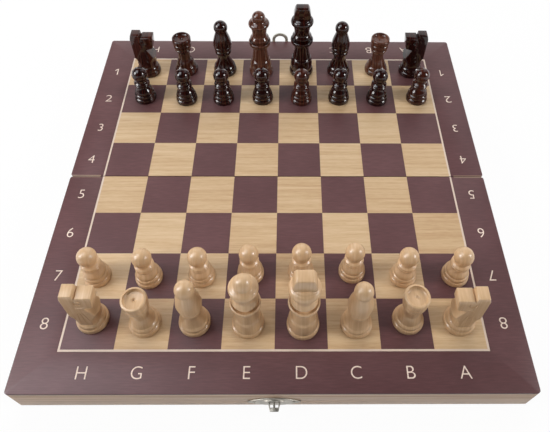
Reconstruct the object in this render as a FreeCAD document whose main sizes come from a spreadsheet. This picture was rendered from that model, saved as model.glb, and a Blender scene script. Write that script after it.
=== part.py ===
import FreeCAD, Part
import math
import os
import Sketcher

# Folding chess and backgammon board with its chess men, in millimetres.
# +Z is up, +X is right and -Y is the front. The board lies open and flat, playing face up.
# The fold runs along X through the middle. The origin is under the middle, at the lowest point.

# Driving sizes of the board
BOARD_SIZES = [
    ("square_size", 40.5, "one square of the playing field"),
    ("border_width", 32.0, "playing field to the edge of the board"),
    ("line_width", 1.6, "pale line round the playing field"),
    ("board_thickness", 29.0, "rim to playing face"),
    ("corner_radius", 2.5, "rounded upright corners of each half"),
    ("fold_gap", 0.8, "between the two spine faces when open"),
    ("closing_gap", 0.3, "between the two rims when folded shut"),
    ("rail_width", 9.0, "wall of the tray"),
    ("panel_thickness", 4.0, "board under the veneers"),
    ("veneer_thickness", 0.6, "border and square veneers"),
    ("point_tip_gap", 72.0, "between the tips of two facing points"),
    ("point_gap", 3.0, "between the bases of two points"),
    ("point_thickness", 0.5, "backgammon point veneer"),
]

# Driving sizes of the two hinges under the fold
HINGE_SIZES = [
    ("hinge_inset", 75.0, "side of the board to the middle of a hinge"),
    ("hinge_length", 34.0, "along the fold"),
    ("knuckle_radius", 1.25, "outside of the knuckles"),
    ("knuckle_gap", 0.3, "clearance round and between the knuckles"),
    ("hinge_pin_radius", 0.6, "hinge pin"),
    ("pin_clearance", 0.05, "running clearance of every pin, radial"),
    ("leaf_width", 7.5, "fold line to the far edge of a leaf"),
    ("leaf_thickness", 0.8, "sheet metal of a leaf"),
    ("leaf_recess", 0.1, "leaf face below the rim"),
    ("mortise_clearance", 0.15, "round a leaf in its mortise"),
    ("hinge_nail_pitch", 11.0, "between the nails of a leaf"),
    ("hinge_nail_radius", 0.9, "flush nail of a leaf"),
    ("hinge_nail_length", 10.0, "flush nail of a leaf"),
    ("nail_clearance", 0.05, "round a nail in its hole, radial"),
]

# Driving sizes of the ring latch
LATCH_SIZES = [
    ("latch_height", 10.5, "middle of a latch plate above the rim"),
    ("plate_length", 40.0, "tip to tip of a latch plate"),
    ("plate_rise", 8.5, "half height of a latch plate"),
    ("plate_thickness", 0.9, "sheet metal of a latch plate"),
    ("rib_length", 15.0, "pressed rib over the tongue"),
    ("rib_rise", 2.6, "half height of the pressed rib"),
    ("rib_height", 3.4, "middle of the rib above the tongue"),
    ("rib_depth", 0.6, "rib in front of its plate"),
    ("tongue_play", 0.8, "tongue to the inside of the ring, each side"),
    ("tongue_taper", 1.75, "by which each side of the tongue closes in to its tip"),
    ("tongue_reach", 7.5, "wall to the tip of the tongue"),
    ("tongue_thickness", 0.9, "sheet metal of the tongue"),
    ("window_edge", 1.9, "side of the tongue at the plate to slot"),
    ("window_length", 3.0, "slot in the tongue"),
    ("window_inset", 0.8, "plate to slot"),
    ("window_bar", 1.5, "bar between the two slots"),
    ("ring_pivot_height", 10.6, "ring pin above the rim"),
    ("ring_clearance", 0.4, "ring over the tongue, when shut"),
    ("ring_width", 18.1, "outside of the ring"),
    ("ring_band", 3.3, "width of the ring's band"),
    ("ring_thickness", 1.5, "sheet metal of the ring"),
    ("ring_foot", 5.0, "pin to the opening of the ring"),
    ("ring_shoulder", 2.2, "pin to where the ring widens"),
    ("barrel_length", 8.0, "rolled barrel of the ring"),
    ("barrel_radius", 1.4, "outside of the barrel and the ears"),
    ("barrel_gap", 0.3, "clearance beside and behind the barrel"),
    ("ear_width", 3.5, "one ear of the ring plate"),
    ("ring_pin_radius", 0.7, "pin of the ring"),
    ("latch_nail_offset", 15.0, "middle of a latch plate to its nails"),
    ("latch_nail_radius", 0.8, "shank of a latch nail"),
    ("latch_nail_length", 7.0, "shank of a latch nail"),
    ("latch_nail_head", 1.7, "radius of the domed head"),
    ("latch_nail_dome", 0.8, "height of the domed head"),
    ("latch_nail_flat", 0.6, "radius of the flat on top of the head"),
]

# Turned outlines of the men, from the foot up: station, rise, radius, bulge of the stretch below it.
# A bulge is the height of an arc over its chord: positive swells out, negative is hollow, zero is straight.
TURNINGS = {
    "pawn": [
        ("foot", 0.0, 10.9, 0.0),
        ("plinth", 4.4, 10.6, 0.3),
        ("groove", 0.6, 9.8, 0.0),
        ("shoulder", 4.6, 8.8, 1.1),
        ("waist", 7.9, 5.5, 0.2),
        ("flare", 3.8, 7.1, 0.3),
        ("collar", 3.2, 7.0, 0.5),
        ("neck", 3.4, 5.6, -0.2),
        ("crown", 2.0, 0.0, 0.0),
    ],
    "rook": [
        ("foot", 0.0, 12.1, 0.0),
        ("plinth", 4.6, 11.9, 0.3),
        ("groove", 0.6, 11.1, 0.0),
        ("shoulder", 4.3, 9.2, 0.9),
        ("stem", 8.5, 6.3, 0.5),
        ("column", 9.0, 6.1, -0.1),
        ("seat", 1.6, 7.6, 0.3),
        ("bead", 3.4, 8.7, 0.4),
        ("drum", 6.2, 9.5, 0.3),
        ("rim", 5.2, 9.6, 0.2),
        ("lip", 1.2, 8.6, 0.35),
        ("ledge", 0.2, 7.6, 0.0),
        ("dish", -1.6, 6.4, -0.2),
        ("dimple_edge", -0.2, 1.4, 0.0),
        ("dimple", -0.5, 0.0, 0.0),
    ],
    "bishop": [
        ("foot", 0.0, 12.2, 0.0),
        ("plinth", 4.6, 12.0, 0.3),
        ("groove", 0.6, 11.1, 0.0),
        ("shoulder", 4.8, 9.8, 1.0),
        ("waist", 8.0, 6.4, 0.0),
        ("flare", 7.4, 7.6, -0.4),
        ("lower_bead", 5.2, 8.5, 0.6),
        ("upper_bead", 5.2, 9.0, 0.6),
        ("brim", 2.0, 9.7, 0.2),
        ("mitre", 10.0, 7.7, 0.3),
        ("neck", 6.7, 5.6, -0.1),
        ("crown", 2.0, 0.0, 0.0),
    ],
    "queen": [
        ("foot", 0.0, 12.1, 0.0),
        ("plinth", 4.6, 11.9, 0.3),
        ("groove", 0.7, 11.0, 0.0),
        ("shoulder", 12.0, 9.9, 0.7),
        ("step", 1.4, 9.3, 0.0),
        ("stem", 17.3, 7.0, -0.3),
        ("cup_foot", 1.6, 9.4, 0.3),
        ("cup", 2.0, 10.5, 0.3),
        ("lower_collar", 3.4, 10.6, 0.3),
        ("slot", 1.2, 9.2, 0.0),
        ("slot_top", 1.2, 10.4, 0.0),
        ("upper_collar", 2.2, 9.9, 0.3),
        ("ramp", 1.6, 8.4, 0.0),
        ("waist", 2.2, 7.4, -0.2),
        ("goblet", 11.8, 10.2, -0.7),
        ("coronet", 2.4, 10.1, 0.3),
        ("dome", 1.8, 6.6, 0.2),
        ("neck", 1.5, 4.9, -0.2),
        ("crown", 1.6, 0.0, 0.0),
    ],
    "king": [
        ("foot", 0.0, 12.6, 0.0),
        ("plinth", 4.8, 12.4, 0.3),
        ("groove", 0.7, 11.4, 0.0),
        ("shoulder", 13.9, 10.3, 0.8),
        ("step", 1.6, 9.6, 0.0),
        ("stem", 17.3, 7.0, -0.4),
        ("cup_foot", 1.6, 9.4, 0.3),
        ("cup", 2.2, 10.6, 0.3),
        ("lower_collar", 3.3, 10.7, 0.3),
        ("slot", 1.3, 9.4, 0.0),
        ("slot_top", 1.3, 10.5, 0.0),
        ("upper_collar", 2.1, 10.0, 0.3),
        ("ramp", 1.6, 8.7, 0.0),
        ("waist", 2.0, 7.8, -0.2),
        ("goblet", 11.7, 10.9, -0.7),
        ("coronet", 3.2, 10.8, 0.3),
        ("dome", 3.2, 6.2, 0.6),
        ("crown", 1.6, 0.0, 0.0),
    ],
    "knight": [
        ("foot", 0.0, 12.2, 0.0),
        ("plinth", 4.6, 12.0, 0.3),
        ("groove", 0.6, 11.0, 0.0),
        ("shoulder", 5.0, 9.6, 0.8),
        ("crease", 0.6, 8.6, 0.0),
        ("bolster", 0.6, 9.8, 0.0),
        ("chest", 6.0, 9.9, 0.3),
        ("cone", 9.0, 4.6, 0.9),
        ("crown", 1.0, 0.0, 0.0),
    ],
}

# Heads that are not turned with the body of the man
HEAD_SIZES = [
    ("set_down_step", 0.5, "by which men stand off the middles of their squares"),
    ("pawn_ball_radius", 7.8, "ball head"),
    ("pawn_ball_rise", 5.35, "middle of the ball above the neck"),
    ("bishop_ball_radius", 7.1, "ball head"),
    ("bishop_ball_rise", 4.28, "middle of the ball above the neck"),
    ("queen_ball_radius", 6.0, "ball on the dome"),
    ("queen_ball_rise", 3.38, "middle of the ball above the neck"),
    ("king_block_height", 13.8, "block on the dome"),
    ("king_block_sink", 1.0, "foot of the block below the dome's top"),
    ("king_block_foot", 15.0, "width of the block at its foot"),
    ("king_block_waist", 16.6, "widest width of the block"),
    ("king_block_top", 12.0, "width of the block at its top"),
    ("king_block_belly", 6.0, "foot to the widest place"),
    ("king_block_bevel", 2.2, "bevel under the top"),
    ("king_block_depth", 10.4, "front to back"),
    ("knight_head_thickness", 10.4, "carved head, side to side"),
    ("knight_head_sink", 3.4, "foot of the head below the top of the chest"),
    ("knight_head_height", 38.4, "foot of the head to the ear's top"),
    ("knight_back", 8.0, "middle to the back at the foot"),
    ("knight_crest", 10.8, "middle to the back at the crest"),
    ("knight_crest_height", 33.5, "foot to the crest"),
    ("knight_ear", 9.6, "middle to the back of the ear's top"),
    ("knight_cleft", 0.2, "middle to the cleft behind the brow"),
    ("knight_cleft_depth", 4.8, "ear's top to the cleft's foot"),
    ("knight_brow_drop", 2.9, "ear's top to the brow"),
    ("knight_brow", 0.9, "middle to the brow"),
    ("knight_muzzle", 12.4, "middle to the muzzle's top"),
    ("knight_lip", 11.0, "middle to the muzzle's foot"),
    ("knight_lip_height", 22.9, "foot to the muzzle's foot"),
    ("knight_throat", 3.8, "middle to the throat"),
    ("knight_throat_height", 20.6, "foot to the throat"),
    ("knight_breast", 11.4, "middle to the breast"),
    ("knight_breast_height", 7.5, "foot to the breast"),
    ("knight_front", 8.2, "middle to the front at the foot"),
]

# How the men stand, left to right: kind, and by how many steps each was set down right of
# and behind the middle of its square
PALE_PIECES = [
    ("knight", 0, 7), ("rook", 1, 1), ("bishop", -3, 2), ("queen", -1, 0),
    ("king", 3, -2), ("bishop", 5, -1), ("rook", 5, 5), ("knight", 4, 3),
]
PALE_PAWNS = [
    ("pawn", -9, -1), ("pawn", -5, -3), ("pawn", 0, -1), ("pawn", -1, 4),
    ("pawn", 1, 6), ("pawn", 4, 7), ("pawn", 7, -1), ("pawn", 12, 0),
]
DARK_PAWNS = [
    ("pawn", 3, 3), ("pawn", 9, -1), ("pawn", 5, 0), ("pawn", 6, 2),
    ("pawn", 6, 0), ("pawn", 4, 2), ("pawn", 3, 0), ("pawn", 7, 3),
]
DARK_PIECES = [
    ("knight", -2, 4), ("rook", -2, 9), ("bishop", 2, 7), ("queen", 0, 6),
    ("king", 7, 7), ("bishop", 8, 6), ("rook", 10, 10), ("knight", 4, 6),
]
ROWS = [
    ("pale", 0, PALE_PIECES),
    ("pale", 1, PALE_PAWNS),
    ("dark", 6, DARK_PAWNS),
    ("dark", 7, DARK_PIECES),
]
FILE_LETTERS = "hgfedcba"
FILES = 8
RANKS_OF_A_HALF = 4
POINTS_OF_A_SIDE = 6
HALF_TURN = 180.0

# Places that several pieces share, worked out from the sizes
HINGE_AXIS = "Sizes.knuckle_radius"
RIM = "(Sizes.knuckle_radius + Sizes.closing_gap / 2)"
RAIL_HEIGHT = "(Sizes.board_thickness - Sizes.panel_thickness - Sizes.veneer_thickness)"
UNDERSIDE = f"({RIM} + {RAIL_HEIGHT})"
DECK = f"({UNDERSIDE} + Sizes.panel_thickness)"
FACE = f"({RIM} + Sizes.board_thickness)"
FIELD = f"({FILES // 2} * Sizes.square_size)"
RIGHT = f"({FIELD} + Sizes.border_width)"
LEFT = f"(-{RIGHT})"
FRONT = f"(-{FIELD} - Sizes.border_width)"
FOLD = "(-Sizes.fold_gap / 2)"
HINGE_MIDDLE = f"({RIGHT} - Sizes.hinge_inset)"
HINGE_SIDES = (("left", f"(-{HINGE_MIDDLE})"), ("right", HINGE_MIDDLE))
LATCH_NAIL_SIDES = (("left", "-Sizes.latch_nail_offset"), ("right", "Sizes.latch_nail_offset"))
FIELD_AND_LINE = f"({FIELD} + Sizes.line_width)"
LEAF_FACE = f"({RIM} + Sizes.leaf_recess)"
LEAF_EDGE = "(Sizes.knuckle_radius + Sizes.knuckle_gap)"
KNUCKLE_LENGTH = "((Sizes.hinge_length - 2 * Sizes.knuckle_gap) / 3)"
HINGE_NAIL_PLACE = f"(-(Sizes.leaf_width + {LEAF_EDGE}) / 2)"
PLATE_HEIGHT = f"({RIM} + Sizes.latch_height)"
RING_AXIS = "(Sizes.plate_thickness + Sizes.barrel_gap + Sizes.barrel_radius)"
RING_INSIDE = "(Sizes.ring_width / 2 - Sizes.ring_band)"
TONGUE_ROOT = f"(2 * {RING_INSIDE} - 2 * Sizes.tongue_play)"
TONGUE_TIP = f"({TONGUE_ROOT} - 2 * Sizes.tongue_taper)"
RING_BOW = (
    "(Sizes.ring_pivot_height + Sizes.closing_gap + Sizes.latch_height + Sizes.ring_clearance"
    f" - sqrt({RING_INSIDE}^2 - ({TONGUE_ROOT} / 2)^2))"
)

doc = FreeCAD.newDocument("chess_and_backgammon_board")
sheet = doc.addObject("Spreadsheet::Sheet", "Sizes")
nodes = []


def fill_sheet():
    """Writes every driving size to the sheet, with its alias."""
    rows = BOARD_SIZES + HINGE_SIZES + LATCH_SIZES + HEAD_SIZES
    for kind, stations in TURNINGS.items():
        for station, rise, radius, bulge in stations:
            rows.append((f"{kind}_{station}_rise", rise, "above the station below it"))
            rows.append((f"{kind}_{station}_radius", radius, "turned radius"))
            rows.append((f"{kind}_{station}_bulge", bulge, "arc over its chord"))
    for line, (alias, size, meaning) in enumerate(rows, 1):
        sheet.set(f"A{line}", alias)
        sheet.set(f"B{line}", str(size))
        sheet.set(f"C{line}", meaning)
        sheet.setAlias(f"B{line}", alias)
    doc.recompute()


def number(expression):
    """The present value of an expression on the sheet."""
    return float(sheet.evalExpression(expression))


def bind(thing, **sizes):
    for name, expression in sizes.items():
        thing.setExpression(name, expression)


def place(thing, x="0", y="0", z="0", axis=(0, 0, 1), turn=0.0):
    """Turns a thing about an axis through its own origin and sets its place."""
    rotation = FreeCAD.Rotation(FreeCAD.Vector(*axis), turn)
    thing.Placement = FreeCAD.Placement(FreeCAD.Vector(), rotation)
    for letter, expression in zip("xyz", (x, y, z)):
        thing.setExpression(f"Placement.Base.{letter}", expression)
    return thing


def node(thing, label):
    """Makes a thing one of the sub-parts that are written to a file."""
    thing.Label = label
    nodes.append(thing)
    return thing


def box(name, x, y, z):
    """A box between two expressions on each axis."""
    thing = doc.addObject("Part::Box", name)
    bind(
        thing,
        Length=f"({x[1]}) - ({x[0]})",
        Width=f"({y[1]}) - ({y[0]})",
        Height=f"({z[1]}) - ({z[0]})",
    )
    return place(thing, x[0], y[0], z[0])


def cylinder(name, radius, length, along, x="0", y="0", z="0"):
    """A round bar that starts at a point and runs along an axis."""
    thing = doc.addObject("Part::Cylinder", name)
    bind(thing, Radius=radius, Height=length)
    turns = {"x": ((0, 1, 0), 90.0), "y": ((1, 0, 0), -90.0), "z": ((0, 0, 1), 0.0)}
    axis, turn = turns[along]
    return place(thing, x, y, z, axis, turn)


def group(name, things):
    thing = doc.addObject("Part::Compound", name)
    thing.Links = things
    return thing


def fuse(name, things):
    thing = doc.addObject("Part::MultiFuse", name)
    thing.Shapes = things
    return thing


def cut(name, base, tools):
    thing = doc.addObject("Part::Cut", name)
    thing.Base = base
    thing.Tool = tools[0] if len(tools) == 1 else group(f"{name}_tools", tools)
    return thing


def copy(name, source, x="0", y="0", z="0", axis=(0, 0, 1), turn=0.0):
    """The same piece once more, in another place."""
    thing = doc.addObject("App::Link", name)
    thing.LinkedObject = source
    thing.LinkTransform = True
    return place(thing, x, y, z, axis, turn)


def new_sketch(body, name, role, offset="0"):
    """A sketch on one of the body's own planes, moved along the plane's normal."""
    sketch = body.newObject("Sketcher::SketchObject", name)
    plane = [f for f in body.Origin.OriginFeatures if f.Role == role][0]
    sketch.AttachmentSupport = [(plane, "")]
    sketch.MapMode = "FlatFace"
    sketch.setExpression("AttachmentOffset.Base.z", offset)
    return sketch


def draw_edge(sketch, start, end, bulge):
    """Adds a line or an arc. Gives its index and which of its ends are its start and end."""
    first = FreeCAD.Vector(*start, 0)
    last = FreeCAD.Vector(*end, 0)
    if bulge == 0.0:
        return sketch.addGeometry(Part.LineSegment(first, last), False), 1, 2
    chord = last - first
    outward = FreeCAD.Vector(chord.y, -chord.x, 0).normalize()
    radius = chord.Length**2 / (8 * abs(bulge)) + abs(bulge) / 2
    centre = (first + last) / 2 + outward * (bulge - math.copysign(radius, bulge))
    circle = Part.Circle(centre, FreeCAD.Vector(0, 0, 1), radius)
    angles = [math.atan2(p.y - centre.y, p.x - centre.x) for p in (first, last)]
    if bulge < 0:
        angles.reverse()
    if angles[1] <= angles[0]:
        angles[1] += 2 * math.pi
    index = sketch.addGeometry(Part.ArcOfCircle(circle, *angles), False)
    return (index, 1, 2) if bulge > 0 else (index, 2, 1)


def hold(sketch, kind, geometry, expression):
    """Adds a constraint whose value comes from the sheet."""
    index = sketch.addConstraint(Sketcher.Constraint(kind, *geometry, number(expression)))
    sketch.setExpression(f"Constraints[{index}]", expression)


def outline(sketch, corners, bulges=None):
    """A closed outline, anticlockwise, whose corners and arcs are held to the sheet."""
    bulges = bulges or {}
    count = len(corners)
    points = [(number(x), number(y)) for x, y in corners]
    edges = []
    for i in range(count):
        bulge = number(bulges.get(i, "0"))
        edges.append(draw_edge(sketch, points[i], points[(i + 1) % count], bulge))
    for i, (index, start, end) in enumerate(edges):
        following, its_start, _ = edges[(i + 1) % count]
        sketch.addConstraint(Sketcher.Constraint("Coincident", index, end, following, its_start))
        x, y = corners[i]
        hold(sketch, "DistanceX", (-1, 1, index, start), x)
        hold(sketch, "DistanceY", (-1, 1, index, start), y)
        if number(bulges.get(i, "0")) != 0.0:
            to_x, to_y = corners[(i + 1) % count]
            along_x = f"(({to_x}) - ({x}))"
            along_y = f"(({to_y}) - ({y}))"
            chord = f"sqrt({along_x}^2 + {along_y}^2)"
            swing = f"(({bulges[i]}) / (2 * {chord}) - {chord} / (8 * ({bulges[i]})))"
            if abs(number(along_y)) > abs(number(along_x)):
                middle = f"(({x}) + ({to_x})) / 2 + {along_y} * {swing}"
                hold(sketch, "DistanceX", (-1, 1, index, 3), middle)
            else:
                middle = f"(({y}) + ({to_y})) / 2 - {along_x} * {swing}"
                hold(sketch, "DistanceY", (-1, 1, index, 3), middle)


def rectangle(sketch, x, y):
    outline(sketch, [(x[0], y[0]), (x[1], y[0]), (x[1], y[1]), (x[0], y[1])])


def ring(sketch, x, y, radius):
    """A full circle about a point."""
    centre = FreeCAD.Vector(number(x), number(y), 0)
    circle = Part.Circle(centre, FreeCAD.Vector(0, 0, 1), number(radius))
    index = sketch.addGeometry(circle, False)
    hold(sketch, "DistanceX", (-1, 1, index, 3), x)
    hold(sketch, "DistanceY", (-1, 1, index, 3), y)
    hold(sketch, "Radius", (index,), radius)


def pad(body, name, sketch, length):
    feature = body.newObject("PartDesign::Pad", name)
    feature.Profile = sketch
    feature.setExpression("Length", length)
    doc.recompute()
    return feature


def round_uprights(body, feature, wanted):
    """Rounds the upright edges whose middle is wanted, to the radius of the board's corners."""
    names = []
    for number_of_edge, edge in enumerate(feature.Shape.Edges, 1):
        low, high = edge.BoundBox.ZMin, edge.BoundBox.ZMax
        if abs(edge.Length - (high - low)) < 1e-6 and wanted(edge.CenterOfMass):
            names.append(f"Edge{number_of_edge}")
    fillet = body.newObject("PartDesign::Fillet", f"{body.Name}_corners")
    fillet.Base = (feature, names)
    fillet.setExpression("Radius", "Sizes.corner_radius")
    doc.recompute()


def plank(name, y, z, wanted):
    """A full-width plank of the front half, with rounded upright corners."""
    body = doc.addObject("PartDesign::Body", name)
    sketch = new_sketch(body, f"{name}_plan", "XY_Plane")
    rectangle(sketch, (LEFT, RIGHT), y)
    feature = pad(body, f"{name}_pad", sketch, f"({z[1]}) - ({z[0]})")
    round_uprights(body, feature, wanted)
    return place(body, z=z[0])


def latch_nail_tools(name, start, length, radius):
    """Round bars along Y where the two nails of a latch plate go."""
    return [
        cylinder(f"{name}_{side}", radius, length, "y", place_x, start, PLATE_HEIGHT)
        for side, place_x in LATCH_NAIL_SIDES
    ]


def hinge_nail_tools(name, x, radius, length):
    """Upright round bars where the three nails of a leaf go."""
    return [
        cylinder(f"{name}_{i}", radius, length, "z", f"{x} + {i - 1} * Sizes.hinge_nail_pitch",
                 HINGE_NAIL_PLACE, LEAF_FACE)
        for i in range(3)
    ]


# Board: panel and rails of the front half
def build_panel():
    everywhere = lambda middle: True
    body = plank("panel", (FRONT, FOLD), (UNDERSIDE, DECK), everywhere)
    return node(body, "front_panel")


def build_outer_rail():
    at_front = lambda middle: middle.y < number(f"{FRONT} + Sizes.rail_width / 2")
    blank = plank("outer_rail", (FRONT, f"{FRONT} + Sizes.rail_width"), (RIM, UNDERSIDE), at_front)
    depth = "Sizes.latch_nail_length - Sizes.plate_thickness + Sizes.nail_clearance"
    radius = "Sizes.latch_nail_radius + Sizes.nail_clearance"
    holes = latch_nail_tools("outer_rail_hole", FRONT, depth, radius)
    return node(cut("outer_rail_drilled", blank, holes), "front_outer_rail")


def build_spine_rail():
    at_fold = lambda middle: middle.y > number(f"{FOLD} - Sizes.rail_width / 2")
    blank = plank("spine_rail", (f"{FOLD} - Sizes.rail_width", FOLD), (RIM, UNDERSIDE), at_fold)
    tools = []
    for side, middle in HINGE_SIDES:
        half = "(Sizes.hinge_length / 2 + Sizes.mortise_clearance)"
        span = (f"{middle} - {half}", f"{middle} + {half}")
        leaf_y = ("-Sizes.leaf_width - Sizes.mortise_clearance", "Sizes.fold_gap")
        leaf_z = (f"{RIM} - Sizes.leaf_recess", f"{LEAF_FACE} + Sizes.leaf_thickness")
        tools.append(box(f"mortise_{side}", span, leaf_y, leaf_z))
        knuckle_y = (f"-{LEAF_EDGE}", "Sizes.fold_gap")
        knuckle_z = (f"{RIM} - Sizes.leaf_recess", f"{HINGE_AXIS} + {LEAF_EDGE}")
        tools.append(box(f"knuckle_notch_{side}", span, knuckle_y, knuckle_z))
        radius = "Sizes.hinge_nail_radius + Sizes.nail_clearance"
        length = "Sizes.hinge_nail_length + Sizes.nail_clearance"
        tools += hinge_nail_tools(f"spine_hole_{side}", middle, radius, length)
    return node(cut("spine_rail_let_in", blank, tools), "front_spine_rail")


def build_side_rail(side, x):
    y = (f"{FRONT} + Sizes.rail_width", f"{FOLD} - Sizes.rail_width")
    return node(box(f"{side}_rail", x, y, (RIM, UNDERSIDE)), f"front_{side}_rail")


# Board: veneers of the front half
def build_border():
    everywhere = lambda middle: True
    blank = plank("border", (FRONT, FOLD), (DECK, FACE), everywhere)
    field = box(
        "border_field",
        (f"-{FIELD_AND_LINE}", FIELD_AND_LINE),
        (f"-{FIELD_AND_LINE}", "Sizes.fold_gap"),
        (f"{DECK} - Sizes.veneer_thickness", f"{FACE} + Sizes.veneer_thickness"),
    )
    return node(cut("border_frame", blank, [field]), "front_border_veneer")


def build_squares(colour, parity):
    """Sixteen square veneers of one colour. Those beside the fold are trimmed to it."""
    squares = []
    for rank in range(RANKS_OF_A_HALF):
        far_edge = FOLD if rank == RANKS_OF_A_HALF - 1 else f"{rank + 1} * Sizes.square_size - {FIELD}"
        for file in range(FILES):
            if (file + rank) % 2 == parity:
                x = (f"{file} * Sizes.square_size - {FIELD}", f"{file + 1} * Sizes.square_size - {FIELD}")
                y = (f"{rank} * Sizes.square_size - {FIELD}", far_edge)
                squares.append(box(f"{colour}_square", x, y, (DECK, FACE)))
    return squares


def build_line():
    """The pale line round three sides of the half's playing field."""
    z = (DECK, FACE)
    outside = box("line_outside", (f"-{FIELD_AND_LINE}", FIELD_AND_LINE), (f"-{FIELD_AND_LINE}", FOLD), z)
    inside = box("line_inside", (f"-{FIELD}", FIELD), (f"-{FIELD}", "Sizes.fold_gap"), z)
    return cut("line", outside, [inside])


def build_points():
    """Twelve backgammon points under the panel, six from each side wall."""
    inner_depth = f"({FOLD} - {FRONT} - 2 * Sizes.rail_width)"
    pitch = f"({inner_depth} / {POINTS_OF_A_SIDE})"
    half_base = f"(({pitch} - Sizes.point_gap) / 2)"
    length = f"({RIGHT} - Sizes.rail_width - Sizes.point_tip_gap / 2)"
    blank = doc.addObject("PartDesign::Body", "point")
    sketch = new_sketch(blank, "point_plan", "XY_Plane")
    outline(sketch, [("0", f"-{half_base}"), (length, "0"), ("0", half_base)])
    pad(blank, "point_pad", sketch, "Sizes.point_thickness")
    points = []
    for side, x, turn in (("left", f"{LEFT} + Sizes.rail_width", 0.0),
                          ("right", f"{RIGHT} - Sizes.rail_width", HALF_TURN)):
        for i in range(POINTS_OF_A_SIDE):
            y = f"{FRONT} + Sizes.rail_width + ({i} + 0.5) * {pitch}"
            z = f"{UNDERSIDE} - Sizes.point_thickness"
            points.append(copy(f"point_{side}_{i}", blank, x, y, z, turn=turn))
    return node(group("points", points), "front_points")


# Hinges
def build_leaf(name, knuckles):
    """A leaf on the front side of the fold, about its middle, with knuckles at some of three places."""
    half = "(Sizes.hinge_length / 2)"
    z = (LEAF_FACE, f"{LEAF_FACE} + Sizes.leaf_thickness")
    pieces = [box(f"{name}_plate", (f"-{half}", half), ("-Sizes.leaf_width", f"-{LEAF_EDGE}"), z)]
    for i in knuckles:
        start = f"({i} * ({KNUCKLE_LENGTH} + Sizes.knuckle_gap) - {half})"
        x = (start, f"{start} + {KNUCKLE_LENGTH}")
        pieces.append(box(f"{name}_tab_{i}", x, (f"-{LEAF_EDGE}", "0"), z))
        pieces.append(
            cylinder(f"{name}_knuckle_{i}", "Sizes.knuckle_radius", KNUCKLE_LENGTH,
                     "x", start, "0", HINGE_AXIS)
        )
    bore = cylinder(f"{name}_bore", "Sizes.hinge_pin_radius + Sizes.pin_clearance", "Sizes.hinge_length",
                    "x", f"-{half}", "0", HINGE_AXIS)
    holes = hinge_nail_tools(f"{name}_hole", "0", "Sizes.hinge_nail_radius + Sizes.nail_clearance",
                             "Sizes.leaf_thickness")
    return cut(f"{name}_drilled", fuse(f"{name}_blank", pieces), [bore, *holes])


def build_hinges():
    outer = build_leaf("outer_leaf", (0, 2))
    middle = build_leaf("middle_leaf", (1,))
    fronts = [copy(f"front_leaf_{side}", outer, x) for side, x in HINGE_SIDES]
    backs = [copy(f"back_leaf_{side}", middle, x, turn=HALF_TURN) for side, x in HINGE_SIDES]
    pins = [
        cylinder(f"hinge_pin_{side}", "Sizes.hinge_pin_radius", "Sizes.hinge_length", "x",
                 f"{x} - Sizes.hinge_length / 2", "0", HINGE_AXIS)
        for side, x in HINGE_SIDES
    ]
    node(group("front_leaves", fronts), "front_hinge_leaves")
    node(group("back_leaves", backs), "back_hinge_leaves")
    node(group("pins", pins), "hinge_pins")


def build_nails():
    """All nails of the front half: two in the latch plate and three in each leaf."""
    blank = doc.addObject("PartDesign::Body", "latch_nail")
    sketch = new_sketch(blank, "latch_nail_outline", "XZ_Plane")
    corners = [
        ("0", "-Sizes.latch_nail_length"),
        ("Sizes.latch_nail_radius", "-Sizes.latch_nail_length"),
        ("Sizes.latch_nail_radius", "0"),
        ("Sizes.latch_nail_head", "0"),
        ("Sizes.latch_nail_flat", "Sizes.latch_nail_dome"),
        ("0", "Sizes.latch_nail_dome"),
    ]
    outline(sketch, corners, {3: "Sizes.latch_nail_dome / 4"})
    revolve(blank, "latch_nail_turned", sketch)
    nails = []
    for side, x in LATCH_NAIL_SIDES:
        y = f"{FRONT} - Sizes.plate_thickness"
        nails.append(copy(f"latch_nail_{side}", blank, x, y, PLATE_HEIGHT, (1, 0, 0), 90.0))
    for side, x in HINGE_SIDES:
        nails += hinge_nail_tools(f"hinge_nail_{side}", x, "Sizes.hinge_nail_radius",
                                  "Sizes.hinge_nail_length")
    return node(group("nails", nails), "front_nails")


# Latch
def latch_plate(name):
    """A lens-shaped plate about its middle, on the wall and facing the front."""
    body = doc.addObject("PartDesign::Body", name)
    half = "(Sizes.plate_length / 2)"
    sketch = new_sketch(body, f"{name}_lens", "XZ_Plane")
    rise = "Sizes.plate_rise"
    outline(sketch, [(f"-{half}", "0"), (half, "0")], {0: rise, 1: rise})
    pad(body, f"{name}_pad", sketch, "Sizes.plate_thickness")
    return body


def drill_plate(name, body, more_tools):
    """Drills the plate's two nail holes, and whatever else is given."""
    tools = []
    for side, x in LATCH_NAIL_SIDES:
        radius = "Sizes.latch_nail_radius + Sizes.nail_clearance"
        tools.append(
            cylinder(f"{name}_hole_{side}", radius, "2 * Sizes.plate_thickness", "y", x,
                     "-1.5 * Sizes.plate_thickness")
        )
    return cut(f"{name}_drilled", body, tools + more_tools)


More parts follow.
